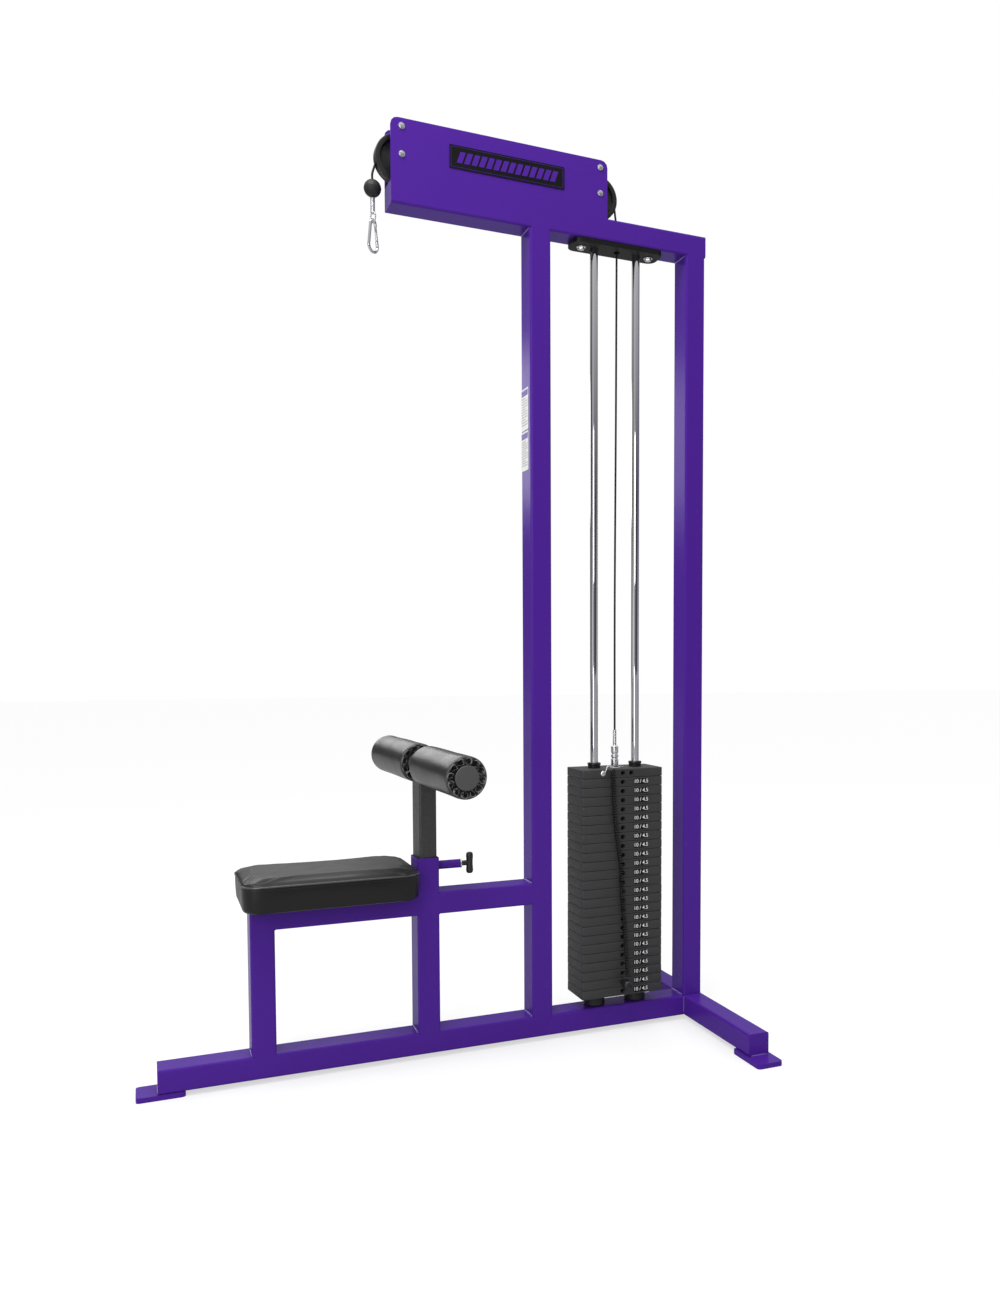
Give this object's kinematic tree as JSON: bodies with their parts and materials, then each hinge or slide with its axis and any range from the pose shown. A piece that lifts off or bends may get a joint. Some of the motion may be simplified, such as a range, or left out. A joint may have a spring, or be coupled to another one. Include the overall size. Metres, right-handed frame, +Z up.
{
  "type": "lat pulldown machine",
  "caption": "Upright cable machine with a seat, thigh rollers, overhead pulleys, a cable hook and a weight stack on guide rods.",
  "frame": {"origin": "on the floor, in the middle of the machine's length and width", "axes": "+X from the seat to the weight stack, +Z up, +Y to the left of someone seated"},
  "size_m": [1.5112, 0.892, 2.3621],
  "materials": {
    "purple_paint": "gloss",
    "black_paint": "textured",
    "chrome": "mirror",
    "zinc": "satin",
    "black_plastic": "satin",
    "black_rubber": "matt",
    "black_vinyl": "smooth vinyl over foam",
    "bronze": "plain"
  },
  "bodies": {
    "frame": {"base_beam": "purple_paint", "rear_cross_base": "purple_paint", "front_foot": "purple_paint", "rear_foot_right": "purple_paint", "rear_foot_left": "purple_paint", "seat_post": "purple_paint", "knee_post": "purple_paint", "middle_upright": "purple_paint", "rear_upright": "purple_paint", "seat_rail": "purple_paint", "rear_rail": "purple_paint", "top_beam": "purple_paint", "pulley_plate_right": "purple_paint", "pulley_plate_left": "purple_paint", "name_plate": "black_plastic", "front_bushing": "bronze", "rear_bushing": "bronze", "front_axle_bolt": "zinc", "rear_axle_bolt": "zinc", "front_keeper_bolt": "zinc", "rear_keeper_bolt": "zinc", "cable_top_run": "black_rubber", "cable_front_drop": "black_rubber", "cable_rear_drop": "black_rubber", "guide_rod_front": "chrome", "guide_rod_rear": "chrome", "rod_top_plate": "black_paint", "rod_plate_bolt_front": "zinc", "rod_plate_bolt_rear": "zinc", "bumper_front": "black_rubber", "bumper_rear": "black_rubber", "weight_plate_bottom": "black_paint", "seat_pad": "black_vinyl", "pop_pin_barrel": "purple_paint", "pop_pin_collar": "zinc"},
    "lifted_stack": {"head_plate": "black_paint", "weight_plates_a": "black_paint", "weight_plates_b": "black_paint", "weight_plates_c": "black_paint", "weight_plates_d": "black_paint", "head_bushing_front": "black_plastic", "head_bushing_rear": "black_plastic", "selector_stem": "zinc", "cable_end_fitting": "zinc", "lanyard": "black_rubber", "lanyard_clip": "zinc"},
    "pin": {"selector_pin": "black_plastic"},
    "hook": {"ball_stop": "black_rubber", "cable_eye": "zinc"},
    "carabiner": {"carabiner_body": "zinc"},
    "gate": {"carabiner_gate": "zinc"},
    "front_wheel": {"front_pulley": "black_plastic"},
    "rear_wheel": {"rear_pulley": "black_plastic"},
    "thigh_post": {"roller_post": "black_paint", "roller_cap_right": "black_plastic", "roller_cap_left": "black_plastic"},
    "right_roller": {"foam_roller_right": "black_vinyl"},
    "left_roller": {"foam_roller_left": "black_vinyl"},
    "plunger": {"pop_pin_plunger": "black_plastic", "pop_pin_spring": "zinc"}
  },
  "joints": [
    {"name": "stack_lift", "type": "slide", "parent": "frame", "child": "lifted_stack", "axis": [0, 0, 1], "range_m": [0, 1.1], "deforming": ["cable_rear_drop"]},
    {"name": "hook_drop", "type": "slide", "parent": "frame", "child": "hook", "axis": [0, 0, -1], "range_m": [0, 1.101], "deforming": ["cable_front_drop"]},
    {"name": "front_pulley_spin", "type": "hinge", "parent": "frame", "child": "front_wheel", "pos_m": [-0.10695, 0, 2.2755], "axis": [0, -1, 0], "range_deg": [0, 1126.5]},
    {"name": "rear_pulley_spin", "type": "hinge", "parent": "frame", "child": "rear_wheel", "pos_m": [0.42605, 0, 2.2755], "axis": [0, -1, 0], "range_deg": [0, 1126.5]},
    {"name": "selector_pin_pull", "type": "slide", "parent": "lifted_stack", "child": "pin", "axis": [0, -1, 0], "range_m": [0, 0.09]},
    {"name": "carabiner_swing", "type": "hinge", "parent": "hook", "child": "carabiner", "pos_m": [-0.17245, 0, 2.114], "axis": [-0.5736, 0.8192, 0], "range_deg": [-45, 45]},
    {"name": "carabiner_gate_open", "type": "hinge", "parent": "carabiner", "child": "gate", "pos_m": [-0.1616, 0.0076, 2.07208], "axis": [0.5736, -0.8192, 0], "range_deg": [0, 22], "stiffness_Nm_per_rad": 0.02},
    {"name": "roller_height", "type": "slide", "parent": "frame", "child": "thigh_post", "axis": [0, 0, 1], "range_m": [-0.1, 0.1]},
    {"name": "right_roller_spin", "type": "hinge", "parent": "thigh_post", "child": "right_roller", "pos_m": [-0.0566, 0, 0.764], "axis": [0.0784, -0.9967, -0.0192], "continuous": true},
    {"name": "left_roller_spin", "type": "hinge", "parent": "thigh_post", "child": "left_roller", "pos_m": [-0.0566, 0, 0.764], "axis": [0.0784, -0.9967, -0.0192], "continuous": true},
    {"name": "pop_pin_pull", "type": "slide", "parent": "frame", "child": "plunger", "axis": [1, 0, 0], "range_m": [0, 0.016], "stiffness_N_per_m": 800}
  ],
  "couplings": [
    {"joint": "hook_drop", "follows": "stack_lift", "ratio": 1},
    {"joint": "front_pulley_spin", "follows": "stack_lift", "rad_per_m": 17.857},
    {"joint": "rear_pulley_spin", "follows": "stack_lift", "rad_per_m": 17.857}
  ]
}
